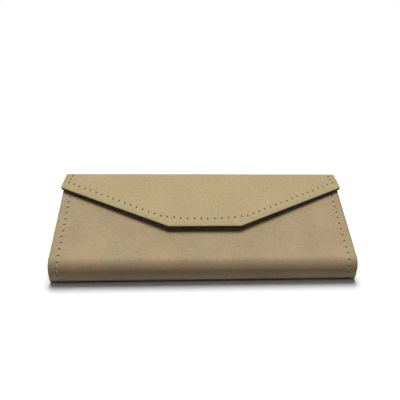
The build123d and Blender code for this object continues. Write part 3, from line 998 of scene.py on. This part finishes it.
for name, outline, bending, stood_for in (
    ("case_lining", case_outline, case_bend, ("front_lining", "fold_lining", "base_lining")),
    ("lid_lining", back_outline, back_lining_bend, ("back_lining",)),
    ("flap_lining_cloth", flap_outline, flap_bend, ("flap_lining",)),
):
    shape = inset(outline, LINING_MARGIN)
    low, high = shape.corners[:, 1].min(), shape.corners[:, 1].max()
    piece = sheet_mesh(name, shape, on_strip, lining_thickness, strip.rows(low, high, changes),
                       lift=thickness, uneven=0.03, seed=7)
    dress(piece, lining_material, "lining_fabric", *stood_for)
    bend(piece, *bending)
    x, y = shape.corners[:, 0], shape.corners[:, 1]
    area = abs(x @ np.roll(y, 1) - y @ np.roll(x, 1)) / 2
    size = ((x.max() - x.min()) * MM, (high - low) * MM)
    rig.sheet(piece, flat=size, held="stretched", area=min(area * MM * MM, size[0] * size[1]))


def outer_face(p):
    return np.zeros(len(p))


def inner_face(p):
    return thickness(p) + LINING_THICK


shown_faces = [(outer_face, 1), (inner_face, -1)]
for name, seams, bending, stood_for in (
    ("case_thread", case_seams, case_bend,
     ("front_stitching", "fold_stitching", "base_stitching")),
    ("back_thread", back_seams, back_bend, ("back_stitching",)),
    ("flap_thread", flap_seams, flap_bend, ("flap_stitching",)),
):
    piece = thread_mesh(name, seams, on_strip, shown_faces)
    dress(piece, thread_material, "thread", *stood_for)
    bend(piece, *bending)

# ---- gussets: each half springs from its panel, leans in and meets the other at the crease -
GUSSET_THICK = 0.8
GUSSET_X = 80.0
GUSSET_LEAN = 34.0
GUSSET_LIFT = 0.9           # hinge line to the lining below it
GUSSET_ROOT = 0.64          # radius of its turn out of the panel
GUSSET_FLANGE = 2.5
GUSSET_WIDTH = 24.0         # more than the longest way from root to crease
GUSSET_FRONT = 9.2          # ends, measured from where its two hinge lines meet
GUSSET_CREASE_END = 61.5
GUSSET_LOWER_END = 69.5
GUSSET_UPPER_END = 56.0
CREASE_OVERLAP = 0.12
GUSSET_BEND = (0.25, 1.9)   # its leather turns with the fold between these heights
PANEL_LINED = PANEL_THICK + LINING_THICK
gusset_turn = 90.0 + GUSSET_LEAN
outer_root = GUSSET_ROOT + GUSSET_THICK / 2
root_arc = radians(gusset_turn) * outer_root
root_end = GUSSET_FLANGE + root_arc
root_runs = [(GUSSET_FLANGE, 0), (root_arc, gusset_turn), (GUSSET_WIDTH, 0)]
trial = Path((0, 0), -90, root_runs)
hinge_spot = trial.spots(np.array([root_end]), np.array([GUSSET_THICK / 2]))[0]
gusset_path = Path(np.array([0, GUSSET_LIFT]) - hinge_spot, -90, root_runs)
lower_drop = fold[1] - PANEL_LINED - GUSSET_LIFT
upper_rise = FOLD_RADIUS - PANEL_LINED - GUSSET_LIFT
slope = radians(FRONT_ANGLE)
meeting = fold[0] - (lower_drop + upper_rise / cos(slope)) / tan(slope)
crease_rise = tan(slope / 2) / cos(radians(GUSSET_LEAN))


def gusset_thickness(p):
    return np.full(len(p), GUSSET_THICK)


def gusset_place(foot, side, along, up):
    """Places points given by station, distance along the gusset's own section, and depth."""
    out = np.array([side, 0.0, 0.0])

    def place(station, p, depth):
        spot = gusset_path.spots(p, depth)
        flat = foot + np.outer(station, along) + np.outer(spot[:, 0], out)
        return (flat + np.outer(spot[:, 1], up)) * MM

    return place


def gusset_outline(corners):
    """Its front end, the given corners, and the crease, which rises away from the meeting."""
    crease = [
        (station, root_end + station * crease_rise + CREASE_OVERLAP)
        for station in (GUSSET_CREASE_END, GUSSET_FRONT)
    ]
    return Outline([(GUSSET_FRONT, 0.0), *corners, *crease])


gusset_rows = gusset_path.rows(0, root_end + GUSSET_CREASE_END * crease_rise)
lower_corners = [(GUSSET_LOWER_END, 0.0), (GUSSET_LOWER_END, root_end)]
upper_corners = [(GUSSET_UPPER_END, 0.0)]
for side, hand in ((-1, "left"), (1, "right")):
    for half, panel, along_angle, up_angle, corners in (
        ("lower", "base", 0.0, 90.0, lower_corners),
        ("upper", "front_panel", FRONT_ANGLE, FRONT_ANGLE - 90, upper_corners),
    ):
        node = f"gusset_{hand}_{half}"
        along = np.array([0, *heading(along_angle)])
        up = np.array([0, *heading(up_angle)])
        foot = np.array([side * GUSSET_X, meeting, fold[1] - lower_drop]) - up * GUSSET_LIFT
        place = gusset_place(foot, side, along, up)
        piece = sheet_mesh(f"{node}_leather", gusset_outline(corners), place, gusset_thickness,
                           gusset_rows, uneven=0.12, seed=12 + side)
        dress(piece, case_nubuck, "gusset_leather", node)
        start, end = ((foot + up * rise) * MM for rise in GUSSET_BEND)
        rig.blend(piece, panel, node, tuple(start), tuple(end))

# ---- the CAD nodes that keep their shape: boards and magnets -------------------------------
for name, node in frame["nodes"].items():
    if not node.hide_render:
        for slot in node.material_slots:
            slot.material = magnet_material if name.endswith("magnets") else board_material

# ---- floor, light and camera ---------------------------------------------------------------
FLOOR_SIZE = 12.0           # half its side, in metres
FLOOR_DROP = 0.0001         # keeps it clear of the base
SKY_TOWARD = (0.0, 0.5, 0.866)
SKY_RANGE = (0.02, 0.25)    # its light from square to that direction, and from along it
floor_mesh = bpy.data.meshes.new("studio_floor")
floor_corners = [(-1, -1), (1, -1), (1, 1), (-1, 1)]
floor_mesh.from_pydata(
    [(x * FLOOR_SIZE, y * FLOOR_SIZE, -FLOOR_DROP) for x, y in floor_corners], [], [(0, 1, 2, 3)]
)
floor = bpy.data.objects.new("studio_floor", floor_mesh)
floor.data.materials.append(studio_floor("floor_paper"))
bpy.context.scene.collection.objects.link(floor)
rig.stage(floor)

world = bpy.data.worlds.new("studio")
bpy.context.scene.world = world
world.use_nodes = True
sky = world.node_tree
direction = sky.nodes.new("ShaderNodeTexCoord").outputs["Generated"]
facing = sky.nodes.new("ShaderNodeVectorMath")
facing.operation = "DOT_PRODUCT"
sky.links.new(direction, facing.inputs[0])
facing.inputs[1].default_value = SKY_TOWARD
level = sky.nodes.new("ShaderNodeMapRange")
level.interpolation_type = "SMOOTHSTEP"
sky.links.new(facing.outputs["Value"], level.inputs["Value"])
level.inputs["To Min"].default_value, level.inputs["To Max"].default_value = SKY_RANGE
seen = sky.nodes.new("ShaderNodeLightPath")
strength = sky.nodes.new("ShaderNodeMix")
sky.links.new(seen.outputs["Is Camera Ray"], strength.inputs[0])
sky.links.new(level.outputs["Result"], strength.inputs[2])
strength.inputs[3].default_value = 1.0
back = sky.nodes["Background"]
back.inputs["Color"].default_value = (1.0, 1.0, 1.0, 1.0)
sky.links.new(strength.outputs[0], back.inputs["Strength"])


def soft_sun(name, strength, spread, toward, floor_state):
    """A broad light far away; floor_state says whether it lights the floor alone or spares it."""
    sun = bpy.data.lights.new(name, "SUN")
    sun.energy = strength
    sun.angle = radians(spread)
    lamp = bpy.data.objects.new(name, sun)
    lamp.rotation_euler = Vector(toward).to_track_quat("Z", "Y").to_euler()
    bpy.context.scene.collection.objects.link(lamp)
    linked = bpy.data.collections.new(f"{name}_receivers")
    linked.objects.link(floor)
    linked.collection_objects[0].light_linking.link_state = floor_state
    lamp.light_linking.receiver_collection = linked


soft_sun("overhead_light", 3.1, 29, (0.0, -0.11, 1.0), "EXCLUDE")
soft_sun("back_left_light", 0.9, 60, (-0.6, 0.8, 0.3), "EXCLUDE")
soft_sun("back_right_light", 0.9, 60, (0.6, 0.8, 0.3), "EXCLUDE")
soft_sun("floor_light", 4.6, 40, (0.0, 0.72, 1.0), "INCLUDE")

IMAGE_WIDTH = 400
FOCAL_PX = 369.5
SENSOR_WIDTH = 36.0
EYE = Vector((-13.12, -195.23, 125.37)) * MM
PITCH_DOWN, YAW, ROLL = radians(25.48), radians(3.24), radians(1.31)
ahead = Vector((sin(YAW) * cos(PITCH_DOWN), cos(YAW) * cos(PITCH_DOWN), -sin(PITCH_DOWN)))
right = Vector((cos(YAW), -sin(YAW), 0))
above = right.cross(ahead)
tilted_right = right * cos(ROLL) + above * sin(ROLL)
tilted_above = above * cos(ROLL) - right * sin(ROLL)
lens = bpy.data.cameras.new("camera")
lens.sensor_width = SENSOR_WIDTH
lens.lens = FOCAL_PX * SENSOR_WIDTH / IMAGE_WIDTH
lens.clip_start = 0.01
camera = bpy.data.objects.new("camera", lens)
aim = Matrix((tilted_right, tilted_above, -ahead)).transposed().to_4x4()
camera.matrix_world = Matrix.Translation(EYE) @ aim
bpy.context.scene.collection.objects.link(camera)
bpy.context.scene.camera = camera
bpy.context.scene.view_settings.view_transform = "Standard"

with open("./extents.json", "w") as file:
    rows = {
        "cad": [[float(v) for v in corner] for corner in cad_box],
        "visual": [[float(v) for v in corner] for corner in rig.bounds()],
    }
    json.dump(rows, file)
